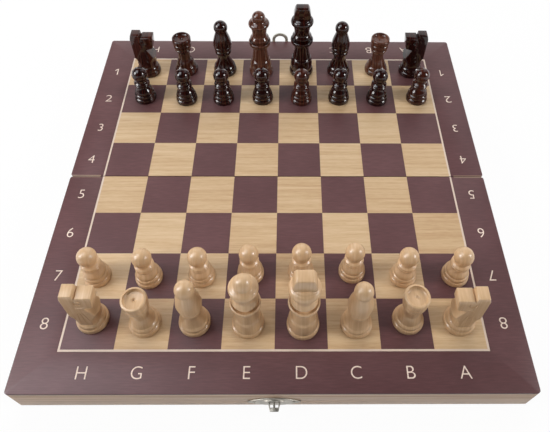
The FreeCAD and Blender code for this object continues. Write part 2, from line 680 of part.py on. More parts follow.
def build_hook():
    body = latch_plate("hook_lens")
    rib = new_sketch(body, "hook_rib", "XZ_Plane")
    half = "(Sizes.rib_length / 2)"
    corners = [(f"-{half}", "Sizes.rib_height"), (half, "Sizes.rib_height")]
    outline(rib, corners, {0: "Sizes.rib_rise", 1: "Sizes.rib_rise"})
    pad(body, "hook_rib_pad", rib, "Sizes.plate_thickness + Sizes.rib_depth")
    tongue = new_sketch(body, "hook_tongue", "XY_Plane", "-Sizes.tongue_thickness")
    tip = "-Sizes.tongue_reach"
    outline(tongue, [
        (f"-{TONGUE_ROOT} / 2", "0"),
        (f"-{TONGUE_TIP} / 2", tip),
        (f"{TONGUE_TIP} / 2", tip),
        (f"{TONGUE_ROOT} / 2", "0"),
    ])
    near = "(-(Sizes.plate_thickness + Sizes.window_inset))"
    far = f"({near} - Sizes.window_length)"
    inner = "(Sizes.window_bar / 2)"
    outer = f"({TONGUE_ROOT} / 2 - Sizes.window_edge)"
    rectangle(tongue, (f"-{outer}", f"-{inner}"), (far, near))
    rectangle(tongue, (inner, outer), (far, near))
    pad(body, "hook_tongue_pad", tongue, "Sizes.tongue_thickness")
    hook = drill_plate("hook_lens", body, [])
    place(hook, y=FRONT, z=PLATE_HEIGHT)
    return node(hook, "hook_plate")


def build_ring_plate():
    body = latch_plate("ring_lens")
    height = "(Sizes.ring_pivot_height - Sizes.latch_height)"
    radius = "Sizes.barrel_radius"
    inner = "(Sizes.barrel_length / 2 + Sizes.barrel_gap)"
    for side, start in (("left", f"-{inner} - Sizes.ear_width"), ("right", inner)):
        ear = new_sketch(body, f"ear_{side}", "YZ_Plane", start)
        corners = [
            ("0", f"{height} + {radius}"),
            (f"-{RING_AXIS}", f"{height} + {radius}"),
            (f"-{RING_AXIS}", f"{height} - {radius}"),
            ("0", f"{height} - {radius}"),
        ]
        outline(ear, corners, {1: radius})
        pad(body, f"ear_{side}_pad", ear, "Sizes.ear_width")
    reach = f"({inner} + Sizes.ear_width)"
    bore = cylinder("ear_bore", "Sizes.ring_pin_radius + Sizes.pin_clearance", f"2 * {reach}", "x",
                    f"-{reach}", f"-{RING_AXIS}", height)
    plate = drill_plate("ring_lens", body, [bore])
    place(plate, y=f"-{FRONT}", z=PLATE_HEIGHT, turn=HALF_TURN)
    node(plate, "ring_plate")
    pin = cylinder("ring_pin", "Sizes.ring_pin_radius", f"2 * {reach}", "x", f"-{reach}",
                   f"{RING_AXIS} - {FRONT}", f"{RIM} + Sizes.ring_pivot_height")
    return node(pin, "ring_pin")


def build_catch_ring():
    """The stamped ring about its pin, standing up."""
    body = doc.addObject("PartDesign::Body", "ring")
    sketch = new_sketch(body, "ring_outline", "XZ_Plane", "-Sizes.ring_thickness / 2")
    outside = "(Sizes.ring_width / 2)"
    foot = "(Sizes.barrel_length / 2)"
    widest = f"(Sizes.ring_shoulder + {outside} - {foot})"
    outline(sketch, [
        (f"-{foot}", "0"),
        (foot, "0"),
        (foot, "Sizes.ring_shoulder"),
        (outside, widest),
        (outside, RING_BOW),
        (f"-{outside}", RING_BOW),
        (f"-{outside}", widest),
        (f"-{foot}", "Sizes.ring_shoulder"),
    ], {4: outside})
    outline(sketch, [
        (f"-{RING_INSIDE}", "Sizes.ring_foot"),
        (RING_INSIDE, "Sizes.ring_foot"),
        (RING_INSIDE, RING_BOW),
        (f"-{RING_INSIDE}", RING_BOW),
    ], {2: RING_INSIDE})
    pad(body, "ring_pad", sketch, "Sizes.ring_thickness")
    barrel = new_sketch(body, "barrel_outline", "YZ_Plane", f"-{foot}")
    ring(barrel, "0", "0", "Sizes.barrel_radius")
    pad(body, "barrel_pad", barrel, "Sizes.barrel_length")
    bore = cylinder("barrel_bore", "Sizes.ring_pin_radius + Sizes.pin_clearance",
                    "2 * Sizes.barrel_length", "x", "-Sizes.barrel_length")
    catch = cut("ring_bored", body, [bore])
    place(catch, y=f"{RING_AXIS} - {FRONT}", z=f"{RIM} + Sizes.ring_pivot_height")
    return node(catch, "catch_ring")


# Men
def revolve(body, name, sketch):
    feature = body.newObject("PartDesign::Revolution", name)
    feature.Profile = sketch
    feature.ReferenceAxis = (sketch, ["V_Axis"])
    feature.Angle = 360.0
    doc.recompute()
    return feature


def station_height(kind, station):
    """How far a station of a turned outline is above the foot."""
    names = [row[0] for row in TURNINGS[kind]]
    below = names[: names.index(station) + 1]
    return "(" + " + ".join(f"Sizes.{kind}_{name}_rise" for name in below) + ")"


def turned_body(kind):
    """The turned part of a man, standing on its foot at the origin."""
    body = doc.addObject("PartDesign::Body", kind)
    sketch = new_sketch(body, f"{kind}_outline", "XZ_Plane")
    corners = [("0", "0")]
    bulges = {}
    for station, _, _, bulge in TURNINGS[kind]:
        if bulge != 0.0:
            bulges[len(corners) - 1] = f"Sizes.{kind}_{station}_bulge"
        corners.append((f"Sizes.{kind}_{station}_radius", station_height(kind, station)))
    outline(sketch, corners, bulges)
    revolve(body, f"{kind}_turned", sketch)
    return body


def add_ball(body, kind, station):
    """A ball head above a station of the turned part."""
    ball = body.newObject("PartDesign::AdditiveSphere", f"{kind}_ball")
    plane = [f for f in body.Origin.OriginFeatures if f.Role == "XY_Plane"][0]
    ball.AttachmentSupport = [(plane, "")]
    ball.MapMode = "FlatFace"
    bind(
        ball,
        Radius=f"Sizes.{kind}_ball_radius",
    )
    height = f"{station_height(kind, station)} + Sizes.{kind}_ball_rise"
    ball.setExpression("AttachmentOffset.Base.z", height)
    doc.recompute()


def add_king_block(body):
    """The bevelled block on the king's dome."""
    sketch = new_sketch(body, "king_block", "XZ_Plane", "-Sizes.king_block_depth / 2")
    foot = f"({station_height('king', 'dome')} - Sizes.king_block_sink)"
    top = f"({foot} + Sizes.king_block_height)"
    right = [
        ("Sizes.king_block_foot / 2", foot),
        ("Sizes.king_block_waist / 2", f"{foot} + Sizes.king_block_belly"),
        ("Sizes.king_block_top / 2 + Sizes.king_block_bevel / 2", f"{top} - Sizes.king_block_bevel"),
        ("Sizes.king_block_top / 2", top),
    ]
    left = [(f"-({x})", z) for x, z in reversed(right)]
    outline(sketch, right + left)
    pad(body, "king_block_pad", sketch, "Sizes.king_block_depth")


def add_knight_head(body):
    """The flat carved head of the knight, looking to the right."""
    sketch = new_sketch(body, "knight_head", "XZ_Plane", "-Sizes.knight_head_thickness / 2")
    foot = f"({station_height('knight', 'chest')} - Sizes.knight_head_sink)"
    top = f"({foot} + Sizes.knight_head_height)"
    outline(sketch, [
        ("-Sizes.knight_back", foot),
        ("Sizes.knight_front", foot),
        ("Sizes.knight_breast", f"{foot} + Sizes.knight_breast_height"),
        ("Sizes.knight_throat", f"{foot} + Sizes.knight_throat_height"),
        ("Sizes.knight_lip", f"{foot} + Sizes.knight_lip_height"),
        ("Sizes.knight_muzzle", f"{top} - Sizes.knight_brow_drop"),
        ("Sizes.knight_brow", f"{top} - Sizes.knight_brow_drop"),
        ("-Sizes.knight_cleft", f"{top} - Sizes.knight_cleft_depth"),
        ("-Sizes.knight_brow", top),
        ("-Sizes.knight_ear", top),
        ("-Sizes.knight_crest", f"{foot} + Sizes.knight_crest_height"),
    ])
    pad(body, "knight_head_pad", sketch, "Sizes.knight_head_thickness")


def build_men():
    """One body for each kind of man, and a copy of it for each man on the board."""
    kinds = {kind: turned_body(kind) for kind in TURNINGS}
    add_ball(kinds["pawn"], "pawn", "neck")
    add_ball(kinds["bishop"], "bishop", "neck")
    add_ball(kinds["queen"], "queen", "neck")
    add_king_block(kinds["king"])
    add_knight_head(kinds["knight"])
    for colour, rank, row in ROWS:
        for file, (kind, right, behind) in enumerate(row):
            x = f"({file} + 0.5) * Sizes.square_size - {FIELD} + {right} * Sizes.set_down_step"
            y = f"({rank} + 0.5) * Sizes.square_size - {FIELD} + {behind} * Sizes.set_down_step"
            turn = 0.0 if file < FILES // 2 else HALF_TURN
            letter = FILE_LETTERS[file]
            name = f"{colour}_{kind}" if kind in ("king", "queen") else f"{colour}_{kind}_{letter}"
            node(copy(name, kinds[kind], x, y, FACE, turn=turn), name)


def build_front_half():
    """Everything that the back half has as well."""
    return [
        build_panel(),
        build_outer_rail(),
        build_spine_rail(),
        build_side_rail("left", (LEFT, f"{LEFT} + Sizes.rail_width")),
        build_side_rail("right", (f"{RIGHT} - Sizes.rail_width", RIGHT)),
        build_border(),
        node(group("dark_squares", build_squares("dark", 0)), "front_dark_inlay"),
        node(group("pale_squares", [*build_squares("pale", 1), build_line()]), "front_pale_inlay"),
        build_points(),
        build_nails(),
    ]


def build_back_half(front_half):
    """The back half is the front half turned round the middle of the board."""
    swapped = {"left": "right", "right": "left"}
    for piece in front_half:
        words = piece.Label.split("_")[1:]
        name = "_".join(["back"] + [swapped.get(word, word) for word in words])
        node(copy(name, piece, turn=HALF_TURN), name)


def write_parts():
    """Writes every sub-part to its own file, once all of them are sound."""
    doc.recompute()
    for thing in doc.Objects:
        if "Invalid" in thing.State or "Error" in thing.State:
            raise RuntimeError(f"{thing.Label} failed: {thing.State}")
    shapes = {thing.Label: Part.getShape(thing) for thing in nodes}
    for label, shape in shapes.items():
        if shape.isNull() or not shape.isValid() or not shape.Solids:
            raise RuntimeError(f"{label} is not a sound solid")
    os.makedirs("parts", exist_ok=True)
    for label, shape in shapes.items():
        shape.exportStep(f"parts/{label}.step")
        print(f"{label}: {len(shape.Solids)} solids, {shape.Volume / 1000:.2f} cm3")


fill_sheet()
half = build_front_half()
build_back_half(half)
build_hinges()
build_hook()
build_ring_plate()
build_catch_ring()
build_men()
write_parts()
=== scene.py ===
# %% [markdown]
# # A folding chess and backgammon board
# The board is a shallow wooden box that folds along its middle. Here it lies open, playing face up,
# with its turned men set out for a game. The CAD model already gives every piece its place and size,
# so this lesson only dresses it: rounder edges, lathe-smooth men, printed letters and real finishes.

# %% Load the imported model
import math
import bmesh
import bpy
from mathutils import Matrix, Vector


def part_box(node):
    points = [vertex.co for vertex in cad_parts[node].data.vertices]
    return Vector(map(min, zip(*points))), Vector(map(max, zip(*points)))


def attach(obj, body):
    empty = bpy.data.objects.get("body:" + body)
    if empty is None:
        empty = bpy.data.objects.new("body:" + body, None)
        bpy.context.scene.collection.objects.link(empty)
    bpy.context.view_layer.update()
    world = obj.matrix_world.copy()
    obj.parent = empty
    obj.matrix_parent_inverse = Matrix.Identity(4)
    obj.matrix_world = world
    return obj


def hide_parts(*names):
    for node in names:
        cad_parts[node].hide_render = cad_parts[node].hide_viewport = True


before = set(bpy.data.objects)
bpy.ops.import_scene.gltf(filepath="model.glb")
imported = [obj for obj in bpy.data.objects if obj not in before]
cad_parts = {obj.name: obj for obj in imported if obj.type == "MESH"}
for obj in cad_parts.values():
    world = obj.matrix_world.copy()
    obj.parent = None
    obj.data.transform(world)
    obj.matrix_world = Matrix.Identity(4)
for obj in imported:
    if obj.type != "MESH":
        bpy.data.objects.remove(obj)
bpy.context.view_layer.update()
MM = 0.001

# %% [markdown]
# ## Helpers for every finish
# Colours are easiest to pick as the hex values of a paint card, but shaders want linear light.
# One function makes that change, and one adds a node, sets it and links it in a single line. Two more
# start a material and set what is the same all over its surface.

# %% Colour and node helpers
def linear(hex_colour):
    """An sRGB hex colour as linear RGBA."""
    parts = [int(hex_colour[i:i + 2], 16) / 255 for i in (1, 3, 5)]
    return [c / 12.92 if c <= 0.04045 else ((c + 0.055) / 1.055) ** 2.4 for c in parts] + [1.0]


def add(tree, kind, sockets=None, stops=(), **settings):
    """Adds a node, gives it its settings and colour stops, and fills or links its sockets."""
    node = tree.nodes.new("ShaderNode" + kind)
    for name, value in settings.items():
        setattr(node, name, value)
    if stops:
        node.color_ramp.elements.remove(node.color_ramp.elements[1])
    for i, (position, colour) in enumerate(stops):
        stop = node.color_ramp.elements.new(position) if i else node.color_ramp.elements[0]
        stop.position = position
        stop.color = linear(colour)
    for name, value in (sockets or {}).items():
        if isinstance(value, bpy.types.NodeSocket):
            tree.links.new(value, node.inputs[name])
        else:
            node.inputs[name].default_value = value
    return node


def finish_named(name):
    """A new material with its node tree and its one shader."""
    material = bpy.data.materials.new(name)
    material.use_nodes = True
    return material, material.node_tree, material.node_tree.nodes["Principled BSDF"]


def set_surface(shader, values):
    """Sets the sockets of a shader that are the same all over the surface."""
    for name, value in values.items():
        shader.inputs[name].default_value = value


print("helpers ready")

# %% [markdown]
# ## Stained veneer
# The border and the dark squares are thin maple veneer, stained plum brown and sprayed with a satin
# lacquer. The stain hides most of the figure, so the eye only gets fine pores that run left to right
# and slow, faint changes of tone. Stretched noise on Object coordinates gives both.

# %% The plum-brown veneer
SQUARE = 40.5 * MM
FOLD_HIGHLIGHT_PAST = 4.1 * SQUARE
FOLD_HIGHLIGHT_WIDTH = 1.2 * MM
GLAZE_IOR = 1.5
SATIN_LACQUER = {"Roughness": 0.42, "IOR": GLAZE_IOR, "Coat Weight": 0.1, "Coat Roughness": 0.3}


def stained_veneer(name, dark, middle, light):
    material, tree, shader = finish_named(name)
    place = add(tree, "TexCoord").outputs["Object"]
    # pores 9 mm long and 0.9 mm wide, drawn coarser than real ones so that they show
    pores = add(tree, "Mapping", {"Vector": place, "Scale": (1 / (9 * MM), 1 / (0.9 * MM), 1 / (0.9 * MM))})
    fine = add(tree, "TexNoise", {"Vector": pores.outputs["Vector"], "Scale": 1.0, "Detail": 4.0})
    clouds = add(tree, "TexNoise", {"Vector": place, "Scale": 1 / (45 * MM), "Detail": 2.0})
    both = add(tree, "Mix", {0: 0.42, 2: fine.outputs["Fac"], 3: clouds.outputs["Fac"]})
    stain = add(tree, "ValToRGB", {"Fac": both.outputs[0]}, [(0.34, dark), (0.5, middle), (0.66, light)])
    # painted highlight on the last millimetre of the border on both sides of the fold, patchy with the
    # clouds
    away = add(tree, "VectorMath", {0: place}, operation="ABSOLUTE")
    away = add(tree, "SeparateXYZ", {0: away.outputs[0]})
    near = add(tree, "Math", {0: away.outputs["Y"], 1: FOLD_HIGHLIGHT_WIDTH}, operation="LESS_THAN")
    outer = add(tree, "Math", {0: away.outputs["X"], 1: FOLD_HIGHLIGHT_PAST}, operation="GREATER_THAN")
    fold_highlight = add(tree, "Math", {0: near.outputs[0], 1: outer.outputs[0]}, operation="MULTIPLY")
    patchy_highlight = add(tree, "Math", {0: fold_highlight.outputs[0], 1: clouds.outputs["Fac"]}, operation="MULTIPLY")
    # mixes in the pale painted highlight along the fold
    colour = add(tree, "Mix", {0: patchy_highlight.outputs[0], 6: stain.outputs["Color"], 7: linear("#C9AD90")},
                 data_type="RGBA")
    tree.links.new(colour.outputs[2], shader.inputs["Base Color"])
    bump = add(tree, "Bump", {"Height": fine.outputs["Fac"], "Strength": 0.08, "Distance": 0.1 * MM})
    tree.links.new(bump.outputs["Normal"], shader.inputs["Normal"])
    set_surface(shader, SATIN_LACQUER)
    return material


plum_veneer = stained_veneer("stained_maple_veneer", "#523233", "#5A3839", "#634041")
print("made", plum_veneer.name)

# %% [markdown]
# ## Pale veneer
# Each pale square is a separate leaf of birch veneer, cut so that its grain runs left to right. No two
# leaves have quite the same tone, so the finish first finds which square a point is in, and a white
# noise on that number shifts both the tone and the grain of the leaf. The line round the field is a strip
# of whiter maple: it is all that lies more than four squares from the middle.

# %% The birch squares
def leaf_veneer(name, dark, middle, light):
    material, tree, shader = finish_named(name)
    place = add(tree, "TexCoord").outputs["Object"]
    cell = add(tree, "VectorMath", {0: place, 1: (SQUARE, SQUARE, 1.0)}, operation="DIVIDE")
    square = add(tree, "VectorMath", {0: cell.outputs[0]}, operation="FLOOR")
    luck = add(tree, "TexWhiteNoise", {"Vector": square.outputs[0]})
    slid = add(tree, "VectorMath", {0: luck.outputs["Color"], 1: (0.3, 0.3, 0.0), 2: place},
               operation="MULTIPLY_ADD")
    # growth lines about 2.4 mm apart that wander along 70 mm, and pores of 0.7 by 7 mm
    lines = add(tree, "Mapping", {"Vector": slid.outputs[0],
                                  "Scale": (1 / (70 * MM), 1 / (2.4 * MM), 1 / (2.4 * MM))})
    grain = add(tree, "TexNoise", {"Vector": lines.outputs["Vector"], "Scale": 1.0, "Detail": 3.0,
                                   "Distortion": 0.4})
    pores = add(tree, "Mapping", {"Vector": slid.outputs[0],
                                  "Scale": (1 / (7 * MM), 1 / (0.7 * MM), 1 / (0.7 * MM))})
    fine = add(tree, "TexNoise", {"Vector": pores.outputs["Vector"], "Scale": 1.0, "Detail": 2.0})
    both = add(tree, "Mix", {0: 0.35, 2: grain.outputs["Fac"], 3: fine.outputs["Fac"]})
    tone = add(tree, "MapRange", {"Value": luck.outputs["Value"], "To Min": -0.07, "To Max": 0.07})
    shade = add(tree, "Math", {0: both.outputs[0], 1: tone.outputs["Result"]}, operation="ADD")
    leaf = add(tree, "ValToRGB", {"Fac": shade.outputs[0]}, [(0.3, dark), (0.5, middle), (0.72, light)])
    away = add(tree, "VectorMath", {0: place}, operation="ABSOLUTE")
    away = add(tree, "SeparateXYZ", {0: away.outputs[0]})
    most = add(tree, "Math", {0: away.outputs["X"], 1: away.outputs["Y"]}, operation="MAXIMUM")
    line = add(tree, "Math", {0: most.outputs[0], 1: 4 * SQUARE}, operation="GREATER_THAN")
    colour = add(tree, "Mix", {0: line.outputs[0], 6: leaf.outputs["Color"], 7: linear("#D4C0AF")},
                 data_type="RGBA")
    tree.links.new(colour.outputs[2], shader.inputs["Base Color"])
    bump = add(tree, "Bump", {"Height": fine.outputs["Fac"], "Strength": 0.08, "Distance": 0.1 * MM})
    tree.links.new(bump.outputs["Normal"], shader.inputs["Normal"])
    set_surface(shader, SATIN_LACQUER)
    return material


birch_veneer = leaf_veneer("birch_veneer", "#B7946C", "#C6A780", "#D2B792")
print("made", birch_veneer.name)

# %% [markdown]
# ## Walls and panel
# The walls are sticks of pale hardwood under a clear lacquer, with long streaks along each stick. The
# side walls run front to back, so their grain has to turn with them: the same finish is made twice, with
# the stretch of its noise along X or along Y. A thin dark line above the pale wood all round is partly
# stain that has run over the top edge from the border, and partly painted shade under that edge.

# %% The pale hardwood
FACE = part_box("front_border_veneer")[1].z
STAIN_AND_SHADE_ABOVE = FACE - 1.8 * MM


def stick_wood(name, along, dark, middle, light):
    material, tree, shader = finish_named(name)
    place = add(tree, "TexCoord").outputs["Object"]
    # streaks about 3 mm wide and 160 mm long
    long_way, across = 1 / (160 * MM), 1 / (3 * MM)
    streaks = add(tree, "Mapping", {"Vector": place,
                                    "Scale": (long_way if along == "x" else across,
                                              long_way if along == "y" else across, across)})
    grain = add(tree, "TexNoise", {"Vector": streaks.outputs["Vector"], "Scale": 1.0, "Detail": 4.0,
                                   "Distortion": 0.3})
    bare = add(tree, "ValToRGB", {"Fac": grain.outputs["Fac"]}, [(0.3, dark), (0.5, middle), (0.72, light)])
    height = add(tree, "SeparateXYZ", {0: place}).outputs["Z"]
    # the top 1.8 mm is dark: partly stain from the border, partly painted shade under the edge
    stain_and_shade_band = add(tree, "Math", {0: height, 1: STAIN_AND_SHADE_ABOVE}, operation="GREATER_THAN")
    colour = add(tree, "Mix", {0: stain_and_shade_band.outputs[0], 6: bare.outputs["Color"], 7: linear("#4A2F30")},
                 data_type="RGBA")
    tree.links.new(colour.outputs[2], shader.inputs["Base Color"])
    bump = add(tree, "Bump", {"Height": grain.outputs["Fac"], "Strength": 0.1, "Distance": 0.15 * MM})
    tree.links.new(bump.outputs["Normal"], shader.inputs["Normal"])
    set_surface(shader, {"Roughness": 0.45, "IOR": GLAZE_IOR})
    return material


HARDWOOD = ("#AA886B", "#BC9C80", "#CCB096")
wood_across = stick_wood("lacquered_hardwood_across", "x", *HARDWOOD)
wood_endways = stick_wood("lacquered_hardwood_endways", "y", *HARDWOOD)
print("made", wood_across.name, wood_endways.name)

# %% [markdown]
# ## Lacquer on the men
# The men are turned from beech. Half of them keep its colour under a clear satin, the others are stained
# and glossy. The stain never takes evenly: most men are nearly black, some stay brown, and all have
# redder streaks. On a lathe the grain stands upright, so the noise is stretched along Z. A coat over the
# wood gives the small sharp lights.

# %% The finishes of the men
def turned_wood(name, dark, middle, light):
    material, tree, shader = finish_named(name)
    place = add(tree, "TexCoord").outputs["Object"]
    # growth layers about 1.5 mm apart, 14 mm wide and 45 mm tall
    upright = add(tree, "Mapping", {"Vector": place,
                                    "Scale": (1 / (1.5 * MM), 1 / (14 * MM), 1 / (45 * MM))})
    grain = add(tree, "TexNoise", {"Vector": upright.outputs["Vector"], "Scale": 1.0, "Detail": 4.0,
                                   "Distortion": 0.5})
    colour = add(tree, "ValToRGB", {"Fac": grain.outputs["Fac"]},
                 [(0.3, dark), (0.5, middle), (0.72, light)])
    tree.links.new(colour.outputs["Color"], shader.inputs["Base Color"])
    return material, shader


clear_lacquer, shader = turned_wood("clear_lacquered_beech", "#C9A37A", "#D1AC82", "#D9B790")
set_surface(shader, {"IOR": GLAZE_IOR, "Roughness": 0.45, "Coat Weight": 0.55, "Coat Roughness": 0.18})
STAINS = {"black": ("#140302", "#220805", "#3E150C"), "dark": ("#220A06", "#38160D", "#55281A"),
          "brown": ("#3C1C12", "#563022", "#704838")}
stained = {}
for depth, colours in STAINS.items():
    stained[depth], shader = turned_wood(depth + "_stained_beech", *colours)
    set_surface(shader, {"IOR": GLAZE_IOR, "Roughness": 0.35, "Specular IOR Level": 0.05,
                         "Coat Weight": 1.0, "Coat Roughness": 0.06})
print("made", clear_lacquer.name, [material.name for material in stained.values()])

# %% [markdown]
# ## Nickel and ink
# The latch and hinges are thin nickel-plated steel, a little dull from handling. The letters are cream
# ink, screen printed, so they are matt and slightly uneven.

# %% Nickel plate and cream ink
def plated(name, dark, light, metallic):
    material, tree, shader = finish_named(name)
    place = add(tree, "TexCoord").outputs["Object"]
    # smears about 4 mm across
    smears = add(tree, "TexNoise", {"Vector": place, "Scale": 1 / (4 * MM), "Detail": 4.0})
    plate = add(tree, "ValToRGB", {"Fac": smears.outputs["Fac"]}, [(0.3, dark), (0.7, light)])
    tree.links.new(plate.outputs["Color"], shader.inputs["Base Color"])
    dulled = add(tree, "MapRange", {"Value": smears.outputs["Fac"], "To Min": 0.35, "To Max": 0.55})
    tree.links.new(dulled.outputs["Result"], shader.inputs["Roughness"])
    shader.inputs["Metallic"].default_value = metallic
    return material


nickel = plated("nickel_plated_steel", "#8A857C", "#B6B0A6", 1.0)
# the wire of the ring has lost its shine, so it takes more light from all round
dull_wire = plated("dulled_nickel_wire", "#A8A69A", "#C6C4B8", 0.5)
ink, tree, shader = finish_named("cream_ink")
place = add(tree, "TexCoord").outputs["Object"]
speckle = add(tree, "TexNoise", {"Vector": place, "Scale": 1 / (0.8 * MM), "Detail": 2.0})
print_colour = add(tree, "ValToRGB", {"Fac": speckle.outputs["Fac"]}, [(0.3, "#DEC6B4"), (0.7, "#F2E2D4")])
tree.links.new(print_colour.outputs["Color"], shader.inputs["Base Color"])
shader.inputs["Roughness"].default_value = 0.6
print("made", nickel.name, dull_wire.name, ink.name)

# %% [markdown]
# ## Pieces with softened edges
# No real edge is knife sharp. Where a CAD solid already has the right shape, a copy of its mesh is
# welded, its flat faces are merged, and every sharp edge gets a tiny bevel. The copy then stands for
# the CAD node. This is quicker and truer than modelling the box again.

# %% Copy, weld and bevel
HALVES = ("front", "back")
SHARP = math.radians(40)


def new_piece(name, bm, material):
    """Turns a bmesh in metres into an object at the origin."""
    mesh = bpy.data.meshes.new(name)
    bm.to_mesh(mesh)
    bm.free()
    mesh.materials.append(material)
    mesh.shade_smooth()
    mesh.set_sharp_from_angle(angle=math.radians(35))
    piece = bpy.data.objects.new(name, mesh)
    bpy.context.scene.collection.objects.link(piece)
    return piece


def stands_for(piece, body, slot, *nodes):
    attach(piece, body)
    if nodes:
        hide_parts(*nodes)
    return piece


def softened(node, width, material, body, slot):
    """A copy of a CAD node with bevelled edges, in its place."""
    bm = bmesh.new()
    bm.from_mesh(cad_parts[node].data)
    bmesh.ops.remove_doubles(bm, verts=bm.verts, dist=0.002 * MM)
    bmesh.ops.dissolve_limit(bm, angle_limit=math.radians(0.5), verts=bm.verts, edges=bm.edges)
    sharp = [e for e in bm.edges if len(e.link_faces) == 2 and e.calc_face_angle() > SHARP]
    bmesh.ops.bevel(bm, geom=sharp, offset=width, affect="EDGES", segments=2, profile=0.5, material=-1,
                    clamp_overlap=True)
    bmesh.ops.triangulate(bm, faces=[f for f in bm.faces if len(f.verts) > 4])
    return stands_for(new_piece(node + "_eased", bm, material), body, slot, node)


# the pieces that both halves have, and the width of their bevels
EASED = (("panel", 0.3 * MM, wood_across, "pale_wood"),
         ("outer_rail", 0.4 * MM, wood_across, "pale_wood"),
         ("spine_rail", 0.3 * MM, wood_across, "pale_wood"),
         ("left_rail", 0.3 * MM, wood_endways, "pale_wood"),
         ("right_rail", 0.3 * MM, wood_endways, "pale_wood"),
         ("border_veneer", 0.25 * MM, plum_veneer, "dark_veneer"),
         ("hinge_leaves", 0.1 * MM, nickel, "nickel"))
for half in HALVES:
    for node, width, material, slot in EASED:
        softened(half + "_" + node, width, material, half + "_half", slot)
softened("hook_plate", 0.15 * MM, nickel, "front_half", "nickel")
softened("ring_plate", 0.15 * MM, nickel, "back_half", "nickel")
softened("catch_ring", 0.4 * MM, dull_wire, "catch_ring", "nickel")
print("softened the boards and the metal")

# %% [markdown]
# ## Squares and small metal
# The veneer squares lie flush beside each other, so they keep their CAD solids and only get a finish.
# So do the nails and pins.

# %% Finish the CAD nodes that stay
FINISHES = {"hinge_pins": nickel, "ring_pin": nickel}
for half in HALVES:
    FINISHES[half + "_dark_inlay"] = plum_veneer
    FINISHES[half + "_pale_inlay"] = birch_veneer
    FINISHES[half + "_nails"] = nickel
for node, material in FINISHES.items():
    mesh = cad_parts[node].data
    mesh.materials.clear()
    mesh.materials.append(material)
print("finished the squares, nails and pins")

# %% [markdown]
# ## Backgammon points
# Inside, each half has twelve long triangles of veneer in two colours, turn about. A triangle is three
# vertices and one face, extruded to the thickness of the veneer.

# %% The two colours of points
cherry_veneer = stained_veneer("cherry_veneer", "#8A5233", "#9C6240", "#AE7550")
SIDES = (-1, 1)
POINTS_A_SIDE = 6
POINT_GAP = 3 * MM
TIPS_FROM_MIDDLE = 36 * MM


def points(half, sign):
    low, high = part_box(half + "_points")
    pitch = (high.y - low.y + POINT_GAP) / POINTS_A_SIDE
    length = high.x - TIPS_FROM_MIDDLE
    half_base = (pitch - POINT_GAP) / 2
    bm = bmesh.new()
    for side in SIDES:
        for i in range(POINTS_A_SIDE):
            middle = low.y - POINT_GAP / 2 + (i + 0.5) * pitch
            base = side * high.x
            corners = [(base, middle - half_base), (base - side * length, middle),
                       (base, middle + half_base)]
            face = bm.faces.new([bm.verts.new((x, y, low.z)) for x, y in corners])
            face.material_index = (i + (side * sign > 0)) % 2
            made = bmesh.ops.extrude_face_region(bm, geom=[face], use_keep_orig=True)
            top = [v for v in made["geom"] if isinstance(v, bmesh.types.BMVert)]
            bmesh.ops.translate(bm, verts=top, vec=(0, 0, high.z - low.z))
    bmesh.ops.recalc_face_normals(bm, faces=bm.faces)
    piece = new_piece(half + "_point_veneers", bm, plum_veneer)
    piece.data.materials.append(cherry_veneer)
    return stands_for(piece, half + "_half", "dark_veneer", half + "_points")


for half, sign in (("front", 1), ("back", -1)):
    print(points(half, sign).name)

# %% [markdown]
# ## Turning the men
# A wood turner cuts each man from a square stick against a profile. Here the profile is a chain of
# vertices from the foot to the top, given as steps of (rise, radius, swell) in millimetres. A stretch
# with a swell is cut into short edges and pushed out into a curve. Spinning a vertex about the middle of
# the ball draws the ball's arc, and spinning the whole chain about Z makes the solid.

# %% The lathe
CURVE_STEPS, BALL_STEPS, ROUND_STEPS = 8, 16, 64
RING_EASE = 0.22


def turned(steps, ball_rise=None):
    """A bmesh in millimetres, standing on the origin."""
    bm = bmesh.new()
    last = bm.verts.new((0, 0, 0))
    height = 0.0
    for rise, radius, swell in steps:
        height += rise
        start, chord = last.co.copy(), Vector((radius, 0, height)) - last.co
        outward = Vector((chord.z, 0, -chord.x)).normalized()
        cuts = CURVE_STEPS if swell else 1
        for t in (i / cuts for i in range(1, cuts + 1)):
            corner = bm.verts.new(start + chord * t + outward * swell * 4 * t * (1 - t))
            bm.edges.new((last, corner))
            last = corner
    if ball_rise:
        centre = Vector((0, 0, height + ball_rise))
        arm = last.co - centre
        bmesh.ops.spin(bm, geom=[last], cent=centre, axis=(0, -1, 0), angle=math.atan2(arm.x, arm.z),
                       steps=BALL_STEPS)
    bmesh.ops.spin(bm, geom=bm.verts[:] + bm.edges[:], cent=(0, 0, 0), axis=(0, 0, 1), angle=2 * math.pi,
                   steps=ROUND_STEPS, use_merge=True)
    bmesh.ops.remove_doubles(bm, verts=bm.verts, dist=0.01)
    bmesh.ops.recalc_face_normals(bm, faces=bm.faces)
    corners = [e for e in bm.edges if len(e.link_faces) == 2 and e.calc_face_angle() > math.radians(24)]
    bmesh.ops.bevel(bm, geom=corners, offset=RING_EASE, affect="EDGES", segments=2, profile=0.5, material=-1,
                    clamp_overlap=True)
    return bm


